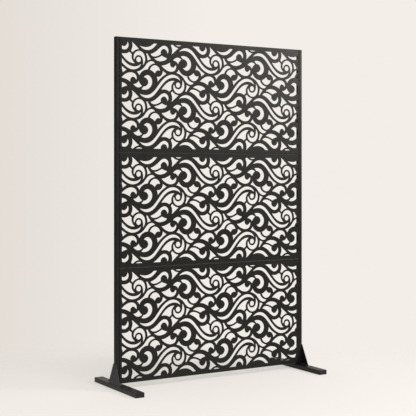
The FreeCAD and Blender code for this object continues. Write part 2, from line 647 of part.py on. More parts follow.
# Fasteners between posts and stubs, on the posts' backs
SPIGOT_INNER_BACK = "(%s) - Sizes.spigot_wall" % spigot_depth[1]
both_sides(group("base_bolts", base_bolt,
                 [place((POST_MIDDLE, POST_BACK + " + Sizes.washer_thickness", level), TOWARDS_BACK)
                  for level in BASE_BOLT_HEIGHTS]), "base_bolts")
both_sides(group("base_washers", washer, [place((POST_MIDDLE, POST_BACK, level), TOWARDS_BACK)
                                          for level in BASE_BOLT_HEIGHTS]), "base_washers")
both_sides(group("base_nuts", nut, [place((POST_MIDDLE, SPIGOT_INNER_BACK, level), TOWARDS_FRONT)
                                    for level in BASE_BOLT_HEIGHTS]), "base_nuts")

# Checks, then one file for each sub-part
doc.recompute()
for item in doc.Objects:
    if "Invalid" in item.State or "Error" in item.State:
        raise RuntimeError("%s did not build: %s" % (item.Label, item.State))
for piece in nodes:
    if piece.Shape.isNull() or not piece.Shape.isValid() or not piece.Shape.Solids:
        raise RuntimeError("%s has no sound shape" % piece.Label)
os.makedirs("parts", exist_ok=True)
for piece in nodes:
    piece.Shape.exportStep(os.path.join("parts", piece.Label + ".step"))
    print("%-24s %3d solids %12.1f mm3" % (piece.Label, len(piece.Shape.Solids), piece.Shape.Volume))
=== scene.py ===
"""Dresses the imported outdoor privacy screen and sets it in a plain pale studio.

Lengths are in metres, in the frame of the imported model: the origin on the ground in the middle of the
screen, X along the screen, Y from its front to its back and Z up.
"""
from __future__ import annotations

import logging
import math
from contextlib import contextmanager
from dataclasses import dataclass
from enum import Enum
from typing import Any, Iterator

import bmesh
import bpy
from mathutils import Matrix, Vector

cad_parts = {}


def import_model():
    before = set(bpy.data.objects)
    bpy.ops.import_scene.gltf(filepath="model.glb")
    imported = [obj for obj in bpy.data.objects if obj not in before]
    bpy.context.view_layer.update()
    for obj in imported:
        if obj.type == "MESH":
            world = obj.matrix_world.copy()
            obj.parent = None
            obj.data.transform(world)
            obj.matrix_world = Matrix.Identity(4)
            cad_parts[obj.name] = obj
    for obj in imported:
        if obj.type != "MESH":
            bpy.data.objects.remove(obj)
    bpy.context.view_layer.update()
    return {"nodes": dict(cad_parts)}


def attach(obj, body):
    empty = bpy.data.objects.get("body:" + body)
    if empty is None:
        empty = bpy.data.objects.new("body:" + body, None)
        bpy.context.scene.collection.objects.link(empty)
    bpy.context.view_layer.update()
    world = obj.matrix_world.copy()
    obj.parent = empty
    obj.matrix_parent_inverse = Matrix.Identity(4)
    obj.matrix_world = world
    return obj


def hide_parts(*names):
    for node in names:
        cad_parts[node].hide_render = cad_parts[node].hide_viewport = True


LOG = logging.getLogger("privacy_screen")
BODY = "root"
MILLIMETRE = 0.001
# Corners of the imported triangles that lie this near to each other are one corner.
SAME_POINT = 1e-6
# Faces that meet at less than this angle are shaded as one rounded surface.
SMOOTH_ANGLE = math.radians(32)
# Most values of a noise texture lie in this span.
NOISE_SPAN = (0.3, 0.7)
# The sockets of a node that mixes colours go by number, because their names occur more than once.
MIX_SHARE = 0
MIX_FIRST = 6
MIX_SECOND = 7
MIXED = 2

Point = tuple[float, float, float]


class Slot(Enum):
    """The finishes that the record lists."""

    POWDER_COAT = "powder_coat"
    PLUG_PLASTIC = "plug_plastic"
    ZINC_PLATE = "zinc_plate"


class Side(Enum):
    """The two ends of the screen, each with the sign of its X."""

    LEFT = -1
    RIGHT = 1

    def node(self, name: str) -> str:
        """Gives the name of this side's node."""
        return f"{self.name.lower()}_{name}"


class Seam(Enum):
    """The two joints between panels."""

    UPPER = "upper"
    LOWER = "lower"

    def node(self, name: str) -> str:
        """Gives the name of this seam's node."""
        return f"{self.value}_seam_{name}"


# Shader helpers

def linear(hex_colour: str) -> tuple[float, float, float, float]:
    """Turns an sRGB hex colour into linear red, green, blue and alpha.

    Args:
        hex_colour: a colour such as "#1c1c1e".

    Returns:
        The linear colour with an alpha of one.
    """
    channels = []
    for start in (1, 3, 5):
        level = int(hex_colour[start:start + 2], 16) / 255
        channels.append(level / 12.92 if level <= 0.04045 else ((level + 0.055) / 1.055) ** 2.4)
    return (channels[0], channels[1], channels[2], 1.0)


def add_node(tree: bpy.types.NodeTree, kind: str, inputs: dict[str | int, Any] | None = None,
             **settings: Any) -> bpy.types.Node:
    """Adds one shader node with its settings and links.

    Args:
        tree: the tree that the node goes into.
        kind: the type name of the node.
        inputs: a value or another node's output for each input, by name or number.
        **settings: the node's own properties.

    Returns:
        The new node.
    """
    node = tree.nodes.new(kind)
    for name, value in settings.items():
        setattr(node, name, value)
    for name, value in (inputs or {}).items():
        if isinstance(value, bpy.types.NodeSocket):
            tree.links.new(value, node.inputs[name])
        else:
            node.inputs[name].default_value = value
    return node


def pattern_scale(size_mm: float) -> float:
    """Gives the texture scale at which one feature of a pattern has the given size.

    Args:
        size_mm: the size of one feature in millimetres.

    Returns:
        The scale for a texture that reads coordinates in metres.
    """
    return 1.0 / (size_mm * MILLIMETRE)


def seeing_rays(tree: bpy.types.NodeTree,
                shiny: float | bpy.types.NodeSocket = 1.0) -> bpy.types.NodeSocket:
    """Marks the rays that show the background: from the camera, through clear things or off shiny ones.

    Args:
        tree: the tree that the nodes go into.
        shiny: how much the rays off shiny things count, as a number or as another node's output.

    Returns:
        An output that is one for such rays, that amount for those off shiny things and zero for others.
    """
    path = add_node(tree, "ShaderNodeLightPath")
    direct = add_node(tree, "ShaderNodeMath", {
        0: path.outputs["Is Camera Ray"], 1: path.outputs["Is Transmission Ray"]}, operation="MAXIMUM")
    mirrored = add_node(tree, "ShaderNodeMath", {
        0: path.outputs["Is Glossy Ray"], 1: shiny}, operation="MULTIPLY")
    every = add_node(tree, "ShaderNodeMath", {
        0: direct.outputs["Value"], 1: mirrored.outputs["Value"]}, operation="MAXIMUM")
    return every.outputs["Value"]


def empty_material(name: str) -> tuple[bpy.types.Material, bpy.types.NodeTree]:
    """Starts a node material.

    Args:
        name: the material's name.

    Returns:
        The material and its empty tree.
    """
    material = bpy.data.materials.new(name)
    material.use_nodes = True
    material.node_tree.nodes.clear()
    return material, material.node_tree


@dataclass(frozen=True)
class PowderCoat:
    """Satin black polyester powder, sprayed dry on steel and baked to one skin.

    The eye sees a deep neutral black with a broad soft sheen, slightly uneven where the film is thicker,
    and a faint orange peel. A painted highlight makes the folds and slanted edges greyer, for the light
    they catch.
    """

    colour: str = "#11110f"
    thick_film: str = "#171715"
    # The colour of the painted highlight on folds and slanted edges, and the slant at which it is full.
    painted_fold_highlight: str = "#30302e"
    full_highlight_slant: float = 0.3
    roughness: tuple[float, float] = (0.36, 0.46)
    specular: float = 0.25
    ior: float = 1.5
    film_mm: float = 70.0
    film_detail: float = 3.0
    film_contrast: float = 0.55
    peel_mm: float = 3.0
    peel_detail: float = 1.5
    peel_contrast: float = 0.5
    peel_height_mm: float = 0.05
    peel_strength: float = 0.5

    def material(self) -> bpy.types.Material:
        """Builds the material.

        Returns:
            The material.
        """
        material, tree = empty_material("powder_coat_satin_black_on_steel")
        coordinates = add_node(tree, "ShaderNodeTexCoord")
        place = coordinates.outputs["Object"]
        film = add_node(tree, "ShaderNodeTexNoise", {
            "Vector": place, "Scale": pattern_scale(self.film_mm), "Detail": self.film_detail,
            "Roughness": self.film_contrast})
        colour = add_node(tree, "ShaderNodeMix", {
            MIX_SHARE: film.outputs["Fac"], MIX_FIRST: linear(self.colour),
            MIX_SECOND: linear(self.thick_film)}, data_type="RGBA")
        roughness = add_node(tree, "ShaderNodeMapRange", {
            "Value": film.outputs["Fac"], "From Min": NOISE_SPAN[0], "From Max": NOISE_SPAN[1],
            "To Min": self.roughness[0], "To Max": self.roughness[1]})
        # Painted highlight: folds and slanted edges, whose normals turn both along Y and along Z, get a
        # greyer colour that stands in for the light they catch.
        facing = add_node(tree, "ShaderNodeSeparateXYZ", {0: coordinates.outputs["Normal"]})
        tilt = add_node(tree, "ShaderNodeMath", {
            0: facing.outputs["Y"], 1: facing.outputs["Z"]}, operation="MULTIPLY")
        slant = add_node(tree, "ShaderNodeMath", {0: tilt.outputs["Value"]}, operation="ABSOLUTE")
        highlight_share = add_node(tree, "ShaderNodeMapRange", {
            "Value": slant.outputs["Value"], "From Max": self.full_highlight_slant})
        coat = add_node(tree, "ShaderNodeMix", {
            MIX_SHARE: highlight_share.outputs["Result"], MIX_FIRST: colour.outputs[MIXED],
            MIX_SECOND: linear(self.painted_fold_highlight)}, data_type="RGBA")
        # Real peel is about 1.5 mm across, drawn twice as coarse so that it still shows from near by.
        peel = add_node(tree, "ShaderNodeTexNoise", {
            "Vector": place, "Scale": pattern_scale(self.peel_mm), "Detail": self.peel_detail,
            "Roughness": self.peel_contrast})
        bump = add_node(tree, "ShaderNodeBump", {
            "Height": peel.outputs["Fac"], "Strength": self.peel_strength,
            "Distance": self.peel_height_mm * MILLIMETRE})
        shader = add_node(tree, "ShaderNodeBsdfPrincipled", {
            "Base Color": coat.outputs[MIXED], "Roughness": roughness.outputs["Result"],
            "Normal": bump.outputs["Normal"], "IOR": self.ior, "Specular IOR Level": self.specular})
        add_node(tree, "ShaderNodeOutputMaterial", {"Surface": shader.outputs["BSDF"]})
        return material


@dataclass(frozen=True)
class MouldedPlastic:
    """Black polyethylene, injection moulded in a spark-eroded mould.

    The eye sees a dull black, a touch greyer than the powder coat, with a fine even grain.
    """

    colour: str = "#141415"
    scuffed: str = "#1d1d1e"
    roughness: float = 0.52
    specular: float = 0.3
    ior: float = 1.51
    grain_mm: float = 1.2
    grain_height_mm: float = 0.03
    grain_strength: float = 0.3
    scuff_mm: float = 18.0
    scuff_detail: float = 4.0
    scuff_contrast: float = 0.6

    def material(self) -> bpy.types.Material:
        """Builds the material.

        Returns:
            The material.
        """
        material, tree = empty_material("polyethylene_black_moulded")
        place = add_node(tree, "ShaderNodeTexCoord").outputs["Object"]
        scuff = add_node(tree, "ShaderNodeTexNoise", {
            "Vector": place, "Scale": pattern_scale(self.scuff_mm), "Detail": self.scuff_detail,
            "Roughness": self.scuff_contrast})
        colour = add_node(tree, "ShaderNodeMix", {
            MIX_SHARE: scuff.outputs["Fac"], MIX_FIRST: linear(self.colour),
            MIX_SECOND: linear(self.scuffed)}, data_type="RGBA")
        # Spark-eroded grain is near 0.4 mm, drawn three times as coarse so that it shows from near by.
        grain = add_node(tree, "ShaderNodeTexVoronoi", {
            "Vector": place, "Scale": pattern_scale(self.grain_mm)}, feature="SMOOTH_F1")
        bump = add_node(tree, "ShaderNodeBump", {
            "Height": grain.outputs["Distance"], "Strength": self.grain_strength,
            "Distance": self.grain_height_mm * MILLIMETRE})
        shader = add_node(tree, "ShaderNodeBsdfPrincipled", {
            "Base Color": colour.outputs[MIXED], "Roughness": self.roughness,
            "Normal": bump.outputs["Normal"], "IOR": self.ior, "Specular IOR Level": self.specular})
        add_node(tree, "ShaderNodeOutputMaterial", {"Surface": shader.outputs["BSDF"]})
        return material


@dataclass(frozen=True)
class ZincPlate:
    """Steel fasteners, barrel plated with bright zinc and passivated.

    The eye sees a cool silver grey, dulled in patches by the barrel, with a breath of blue and straw.
    """

    cool: str = "#b4b9c0"
    straw: str = "#bdb9a9"
    roughness: tuple[float, float] = (0.28, 0.5)
    patch_mm: float = 4.0
    patch_detail: float = 3.0
    patch_contrast: float = 0.6

    def material(self) -> bpy.types.Material:
        """Builds the material.

        Returns:
            The material.
        """
        material, tree = empty_material("zinc_plate_bright_on_steel")
        place = add_node(tree, "ShaderNodeTexCoord").outputs["Object"]
        patch = add_node(tree, "ShaderNodeTexNoise", {
            "Vector": place, "Scale": pattern_scale(self.patch_mm), "Detail": self.patch_detail,
            "Roughness": self.patch_contrast})
        colour = add_node(tree, "ShaderNodeMix", {
            MIX_SHARE: patch.outputs["Fac"], MIX_FIRST: linear(self.cool),
            MIX_SECOND: linear(self.straw)}, data_type="RGBA")
        roughness = add_node(tree, "ShaderNodeMapRange", {
            "Value": patch.outputs["Fac"], "From Min": NOISE_SPAN[0], "From Max": NOISE_SPAN[1],
            "To Min": self.roughness[0], "To Max": self.roughness[1]})
        shader = add_node(tree, "ShaderNodeBsdfPrincipled", {
            "Base Color": colour.outputs[MIXED], "Roughness": roughness.outputs["Result"],
            "Metallic": 1.0})
        add_node(tree, "ShaderNodeOutputMaterial", {"Surface": shader.outputs["BSDF"]})
        return material


# Modelling helpers

def deselect_all() -> None:
    """Leaves edit mode and clears the selection."""
    if bpy.context.object is not None and bpy.context.object.mode != "OBJECT":
        bpy.ops.object.mode_set(mode="OBJECT")
    bpy.ops.object.select_all(action="DESELECT")


def activate(piece: bpy.types.Object) -> None:
    """Makes one object the only selected and active one.

    Args:
        piece: the object.
    """
    deselect_all()
    piece.select_set(True)
    bpy.context.view_layer.objects.active = piece


@contextmanager
def editing(piece: bpy.types.Object) -> Iterator[None]:
    """Works on one object's mesh in edit mode.

    Args:
        piece: the object to edit.
    """
    activate(piece)
    bpy.ops.object.mode_set(mode="EDIT")
    yield
    bpy.ops.object.mode_set(mode="OBJECT")


def apply_modifier(piece: bpy.types.Object, kind: str, **settings: Any) -> None:
    """Adds a modifier and applies it at once.

    Args:
        piece: the object to change.
        kind: the modifier's type name.
        **settings: the modifier's properties.
    """
    modifier = piece.modifiers.new(kind.lower(), kind)
    for name, value in settings.items():
        setattr(modifier, name, value)
    activate(piece)
    bpy.ops.object.modifier_apply(modifier=modifier.name)


def combine(piece: bpy.types.Object, tool: bpy.types.Object, operation: str) -> None:
    """Applies a boolean of two objects to the first and removes the second.

    Args:
        piece: the object that stays.
        tool: the object that shapes it.
        operation: Blender's name for the boolean.
    """
    apply_modifier(piece, "BOOLEAN", object=tool, operation=operation, solver="EXACT")
    bpy.data.objects.remove(tool)


def hexagon_prism(flats: float, height: float) -> bpy.types.Object:
    """Models a hexagon with its corners turned off at the top.

    Args:
        flats: the size across the flats.
        height: the height above the seat at zero.

    Returns:
        The new object.
    """
    turned_share = 0.47
    turned_angle = math.radians(60)
    turned_facets = 48
    # The cone stands out a little at both ends, so that its ends don't lie in the hexagon's faces.
    overrun_share = 1.001
    top_radius = flats * turned_share
    base_radius = top_radius + height * math.tan(turned_angle)
    middle = (0, 0, height / 2)
    deselect_all()
    bpy.ops.mesh.primitive_cylinder_add(vertices=6, radius=flats / math.sqrt(3), depth=height,
                                        location=middle)
    prism = bpy.context.object
    deselect_all()
    bpy.ops.mesh.primitive_cone_add(vertices=turned_facets, radius1=base_radius, radius2=top_radius,
                                    depth=height * overrun_share, location=middle)
    combine(prism, bpy.context.object, "INTERSECT")
    return prism


def threaded_rod(radius: float, length: float, pitch: float, neck: float) -> bpy.types.Object:
    """Models a threaded shank that hangs below zero, with a plain neck above it and a turned-off tip.

    Args:
        radius: the radius over the thread.
        length: the length below zero.
        pitch: the distance from one ridge to the next.
        neck: the length above zero, which goes into the head.

    Returns:
        The new object.
    """
    root_share = 0.84
    facets = 20
    steps = max(2, 2 * int(length / pitch))
    deselect_all()
    bpy.ops.mesh.primitive_circle_add(vertices=facets, radius=radius, fill_type="NGON",
                                      location=(0, 0, neck))
    rod = bpy.context.object
    with editing(rod):
        bpy.ops.mesh.select_all(action="SELECT")
        bpy.ops.mesh.extrude_region_move(TRANSFORM_OT_translate={"value": (0, 0, -neck)})
        for step in range(1, steps + 1):
            level = -length * step / steps
            change = root_share if step % 2 else 1 / root_share
            if step == steps:
                change = 1.0
            bpy.ops.mesh.extrude_region_move(TRANSFORM_OT_translate={"value": (0, 0, -length / steps)})
            bpy.ops.transform.resize(value=(change, change, 1), center_override=(0, 0, level))
        bpy.ops.mesh.select_all(action="SELECT")
        bpy.ops.mesh.normals_make_consistent(inside=False)
    return rod


def copied(pattern: bpy.types.Object, name: str, place: Matrix) -> bpy.types.Object:
    """Copies an object, with a mesh of its own.

    Args:
        pattern: the object to copy.
        name: the name of the copy.
        place: where the copy goes, which its mesh takes up.

    Returns:
        The copy.
    """
    copy = bpy.data.objects.new(name, pattern.data.copy())
    bpy.context.scene.collection.objects.link(copy)
    copy.data.transform(place)
    return copy


def joined(pieces: list[bpy.types.Object], name: str) -> bpy.types.Object:
    """Joins objects into one.

    Args:
        pieces: the objects, the first of which stays.
        name: the name of the result.

    Returns:
        The joined object.
    """
    activate(pieces[0])
    for piece in pieces[1:]:
        piece.select_set(True)
    if len(pieces) > 1:
        bpy.ops.object.join()
    pieces[0].name = name
    pieces[0].data.name = name
    bpy.ops.object.transform_apply(location=True, rotation=True, scale=True)
    return pieces[0]


@dataclass(frozen=True)
class HexBolt:
    """A hexagon bolt along Z whose head stands on zero."""

    length: float
    flats: float = 0.010
    head: float = 0.004
    radius: float = 0.003
    pitch: float = 0.001

    def model(self) -> bpy.types.Object:
        """Models the bolt.

        Returns:
            The new object.
        """
        bolt = hexagon_prism(self.flats, self.head)
        combine(bolt, threaded_rod(self.radius, self.length, self.pitch, self.head / 2), "UNION")
        return joined([bolt], "hex_bolt")


@dataclass(frozen=True)
class HexNut:
    """A hexagon nut along Z that stands on zero."""

    flats: float = 0.010
    height: float = 0.005
    bore: float = 0.0031
    bore_facets: int = 24

    def model(self) -> bpy.types.Object:
        """Models the nut.

        Returns:
            The new object.
        """
        nut = hexagon_prism(self.flats, self.height)
        # The drill is centred on the seat and long enough to come out at both ends.
        drill_length = 3 * self.height
        deselect_all()
        bpy.ops.mesh.primitive_cylinder_add(vertices=self.bore_facets, radius=self.bore, depth=drill_length)
        combine(nut, bpy.context.object, "DIFFERENCE")
        return joined([nut], "hex_nut")


@dataclass(frozen=True)
class Washer:
    """A flat washer along Z that lies on zero, with its stamped edges broken."""

    outer: float = 0.006
    inner: float = 0.0033
    thickness: float = 0.0012
    facets: int = 36
    edge: float = 0.00015
    edge_steps: int = 2
    sharp_angle: float = math.radians(50)

    def model(self) -> bpy.types.Object:
        """Models the washer.

        Returns:
            The new object.
        """
        deselect_all()
        bpy.ops.mesh.primitive_circle_add(vertices=self.facets, radius=self.outer, fill_type="NOTHING")
        washer = bpy.context.object
        share = self.inner / self.outer
        with editing(washer):
            bpy.ops.mesh.select_all(action="SELECT")
            bpy.ops.mesh.extrude_edges_move()
            bpy.ops.transform.resize(value=(share, share, 1), center_override=(0, 0, 0))
            bpy.ops.mesh.select_all(action="SELECT")
            bpy.ops.mesh.extrude_region_move(TRANSFORM_OT_translate={"value": (0, 0, self.thickness)})
            bpy.ops.mesh.select_all(action="SELECT")
            bpy.ops.mesh.normals_make_consistent(inside=False)
        apply_modifier(washer, "BEVEL", width=self.edge, segments=self.edge_steps, limit_method="ANGLE",
                       angle_limit=self.sharp_angle)
        return joined([washer], "washer")


def solid_boxes(node: bpy.types.Object) -> list[tuple[Vector, Vector]]:
    """Finds the box of each separate solid in a node.

    Args:
        node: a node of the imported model.

    Returns:
        The lowest and highest corner of each solid.
    """
    mesh = bmesh.new()
    mesh.from_mesh(node.data)
    bmesh.ops.remove_doubles(mesh, verts=mesh.verts, dist=SAME_POINT)
    unseen = set(mesh.verts)
    boxes = []
    while unseen:
        island = [unseen.pop()]
        for vertex in island:
            for edge in vertex.link_edges:
                other = edge.other_vert(vertex)
                if other in unseen:
                    unseen.discard(other)
                    island.append(other)
        low = Vector([min(vertex.co[axis] for vertex in island) for axis in range(3)])
        high = Vector([max(vertex.co[axis] for vertex in island) for axis in range(3)])
        boxes.append((low, high))
    mesh.free()
    # Corners are compared to a hundredth of a millimetre, so that the order is the same each run.
    return sorted(boxes, key=lambda box: tuple(round(value, 5) for value in box[0]))


@dataclass
class Screen:
    """What all sub-assemblies share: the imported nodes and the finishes."""

    nodes: dict[str, bpy.types.Object]
    finishes: dict[Slot, bpy.types.Material]

    def dress(self, name: str, slot: Slot) -> None:
        """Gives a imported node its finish.

        Args:
            name: the node's name.
            slot: the finish.
        """
        materials = self.nodes[name].data.materials
        materials.clear()
        materials.append(self.finishes[slot])
        LOG.info("%s keeps its packed shape and gets %s", name, self.finishes[slot].name)

    def adopt(self, piece: bpy.types.Object, node: str, slot: Slot) -> None:
        """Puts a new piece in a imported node's place.

        Args:
            piece: the new piece, in place.
            node: the node that it stands for.
            slot: its finish.
        """
        piece.data.materials.clear()
        piece.data.materials.append(self.finishes[slot])
        activate(piece)
        bpy.ops.object.shade_smooth_by_angle(angle=SMOOTH_ANGLE)
        apply_modifier(piece, "WEIGHTED_NORMAL", keep_sharp=True)
        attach(piece, BODY)
        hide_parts(node)
        LOG.info("%s stands for %s", piece.name, node)


@dataclass
class FastenerGroup:
    """Copies of one fastener in the places of a node's solids."""

    screen: Screen
    node: str
    pattern: HexBolt | HexNut | Washer
    directions: tuple[tuple[int, int, int], ...]
    first_turn_degrees: float = 17.0
    next_turn_degrees: float = 41.0

    def seat(self, box: tuple[Vector, Vector], direction: Vector) -> Vector:
        """Finds the point on a fastener's axis where its seat is.

        Args:
            box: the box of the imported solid.
            direction: the way from the seat to the free end.

        Returns:
            The point.
        """
        low, high = box
        middle = (low + high) / 2
        half = abs((high - low).dot(direction)) / 2
        if isinstance(self.pattern, HexBolt):
            return middle + direction * (half - self.pattern.head)
        return middle - direction * half

    def build(self) -> None:
        """Models the fastener once, copies it to each place and joins the copies."""
        pattern = self.pattern.model()
        copies = []
        for number, box in enumerate(solid_boxes(self.screen.nodes[self.node])):
            direction = Vector(self.directions[number % len(self.directions)])
            turn = Vector((0, 0, 1)).rotation_difference(direction).to_matrix().to_4x4()
            # Hand-tightened fasteners stop at any angle.
            spin_degrees = self.first_turn_degrees + self.next_turn_degrees * number
            spin = Matrix.Rotation(math.radians(spin_degrees), 4, "Z")
            place = Matrix.Translation(self.seat(box, direction)) @ turn @ spin
            copies.append(copied(pattern, pattern.name, place))
        bpy.data.objects.remove(pattern)
        self.screen.adopt(joined(copies, self.node + "_modelled"), self.node, Slot.ZINC_PLATE)


@dataclass
class WeldBeads:
    """Rippled fillet welds between a brace plate and its foot, coated over."""

    screen: Screen
    side: Side
    facets: int = 24
    ripple: float = 0.0022
    shoulder_share: float = 0.96
    valley_share: float = 0.86
    end_share: float = 0.6

    def bead(self, leg: float, length: float) -> bpy.types.Object:
        """Models one bead along Y from zero, in the corner between +X and +Z.

        Args:
            leg: the weld's leg.
            length: the bead's length.

        Returns:
            The new object.
        """
        ripples = [1.0, self.shoulder_share, self.valley_share] * round(length / self.ripple)
        shares = [self.end_share] + ripples[:-1] + [self.end_share]
        step = length / (len(shares) - 1)
        deselect_all()
        bpy.ops.mesh.primitive_circle_add(vertices=self.facets, radius=leg, fill_type="NGON",
                                          rotation=(math.radians(90), 0, 0))
        bead = bpy.context.object
        bpy.ops.object.transform_apply(location=True, rotation=True, scale=True)
        with editing(bead):
            for normal in ((-1, 0, 0), (0, 0, -1)):
                bpy.ops.mesh.select_all(action="SELECT")
                bpy.ops.mesh.bisect(plane_co=(0, 0, 0), plane_no=normal, clear_outer=True)
            bpy.ops.mesh.select_all(action="SELECT")
            bpy.ops.transform.resize(value=(shares[0], 1, shares[0]), center_override=(0, 0, 0))
            for number, (before, share) in enumerate(zip(shares, shares[1:]), start=1):
                bpy.ops.mesh.extrude_region_move(TRANSFORM_OT_translate={"value": (0, step, 0)})
                change = share / before
                bpy.ops.transform.resize(value=(change, 1, change), center_override=(0, number * step, 0))
            bpy.ops.mesh.select_all(action="SELECT")
            bpy.ops.mesh.normals_make_consistent(inside=False)
        return bead

    def build(self) -> None:
        """Models a bead and puts a copy in the place of each packed one."""
        node = self.side.node("gusset_welds")
        boxes = solid_boxes(self.screen.nodes[node])
        low, high = boxes[0]
        pattern = self.bead(high.z - low.z, high.y - low.y)
        copies = []
        for low, high in boxes:
            if self.side is Side.LEFT:
                place = Matrix.Translation((low.x, low.y, low.z))
            else:
                place = Matrix.Translation((high.x, high.y, low.z)) @ Matrix.Rotation(math.pi, 4, "Z")
            copies.append(copied(pattern, pattern.name, place))
        bpy.data.objects.remove(pattern)
        self.screen.adopt(joined(copies, node + "_modelled"), node, Slot.POWDER_COAT)


@dataclass
class BracePlate:
    """A brace plate cut from thick sheet, its sharp edges rounded off by tumbling and by the coat."""

    screen: Screen
    side: Side
    edge: float = 0.0005
    edge_steps: int = 3
    flat_angle: float = math.radians(1)
    sharp_angle: float = math.radians(30)

    def build(self) -> None:
        """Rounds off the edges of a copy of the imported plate."""
        node = self.side.node("gusset")
        plate = copied(self.screen.nodes[node], node + "_modelled", Matrix.Identity(4))
        with editing(plate):
            bpy.ops.mesh.select_all(action="SELECT")
            bpy.ops.mesh.remove_doubles(threshold=SAME_POINT)
            bpy.ops.mesh.dissolve_limited(angle_limit=self.flat_angle)
            bpy.ops.mesh.normals_make_consistent(inside=False)
        apply_modifier(plate, "BEVEL", width=self.edge, segments=self.edge_steps, limit_method="ANGLE",
                       angle_limit=self.sharp_angle)
        self.screen.adopt(plate, node, Slot.POWDER_COAT)


@dataclass
class Panels:
    """The three folded trays and the fasteners between them."""

    screen: Screen
    bolt_length: float = 0.012

    def build(self) -> None:
        """Dresses the trays and models the fasteners of both seams."""
        for name in ("top_panel", "middle_panel", "bottom_panel"):
            self.screen.dress(name, Slot.POWDER_COAT)
        up = (0, 0, 1)
        down = (0, 0, -1)
        for seam in Seam:
            FastenerGroup(self.screen, seam.node("bolts"), HexBolt(self.bolt_length), (up,)).build()
            FastenerGroup(self.screen, seam.node("washers"), Washer(), (down, up)).build()
            FastenerGroup(self.screen, seam.node("nuts"), HexNut(), (down,)).build()


@dataclass
class Stand:
    """One post with its foot, brace plate, plugs, stub and fasteners."""

    screen: Screen
    side: Side
    side_bolt_length: float = 0.010
    base_bolt_length: float = 0.011

    def build(self) -> None:
        """Dresses the tubes and plates and models the fasteners and welds."""
        for name in ("post", "foot", "spigot"):
            self.screen.dress(self.side.node(name), Slot.POWDER_COAT)
        for name in ("post_cap", "foot_front_cap", "foot_rear_cap"):
            self.screen.dress(self.side.node(name), Slot.PLUG_PLASTIC)
        for name in ("side_rivet_nuts", "base_nuts"):
            self.screen.dress(self.side.node(name), Slot.ZINC_PLATE)
        inwards = (-self.side.value, 0, 0)
        backwards = (0, 1, 0)
        groups = (
            ("side_bolts", HexBolt(self.side_bolt_length), inwards),
            ("side_washers", Washer(), inwards),
            ("base_bolts", HexBolt(self.base_bolt_length), backwards),
            ("base_washers", Washer(), backwards),
        )
        for name, pattern, direction in groups:
            FastenerGroup(self.screen, self.side.node(name), pattern, (direction,)).build()
        BracePlate(self.screen, self.side).build()
        WeldBeads(self.screen, self.side).build()


@dataclass(frozen=True)
class Softbox:
    """A lamp behind white cloth: where it hangs, the point that it faces, its size and its power."""

    name: str
    place: Point
    aim: Point
    size: tuple[float, float]
    watts: float


